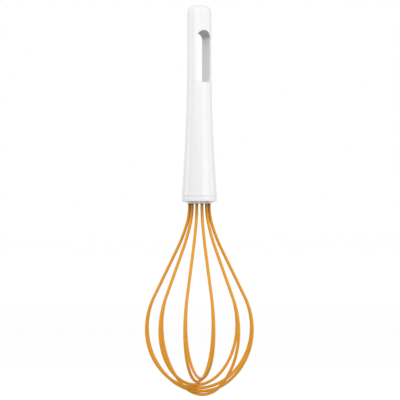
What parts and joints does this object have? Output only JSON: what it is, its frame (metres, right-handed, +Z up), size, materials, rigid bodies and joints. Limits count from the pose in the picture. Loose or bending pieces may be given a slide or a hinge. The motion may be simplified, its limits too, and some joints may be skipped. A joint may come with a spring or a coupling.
{
  "type": "balloon whisk",
  "caption": "Hand whisk with a pear-shaped cage of nested silicone-coated wire loops on a slim flared handle with a hanging slot.",
  "frame": {"origin": "where a hook bears: the middle of the hanging slot's top wall, on the whisk's axis", "axes": "+Z up the axis towards the butt of the handle, with the wire cage below; the slot runs along Y; X across the slot"},
  "size_m": [0.0788, 0.0788, 0.2796],
  "materials": {
    "white_plastic": "satin gloss",
    "orange_silicone": "satin",
    "steel": "drawn",
    "resin": "cast"
  },
  "bodies": {
    "root": {"handle_shell": "white_plastic", "end_cap": "white_plastic", "anchor_plate": "steel", "resin_plug": "resin", "coat_1": "orange_silicone", "coat_2": "orange_silicone", "coat_3": "orange_silicone", "coat_4": "orange_silicone", "coat_5": "orange_silicone", "coat_6": "orange_silicone", "core_1": "steel", "core_2": "steel", "core_3": "steel", "core_4": "steel", "core_5": "steel", "core_6": "steel"}
  },
  "joints": []
}
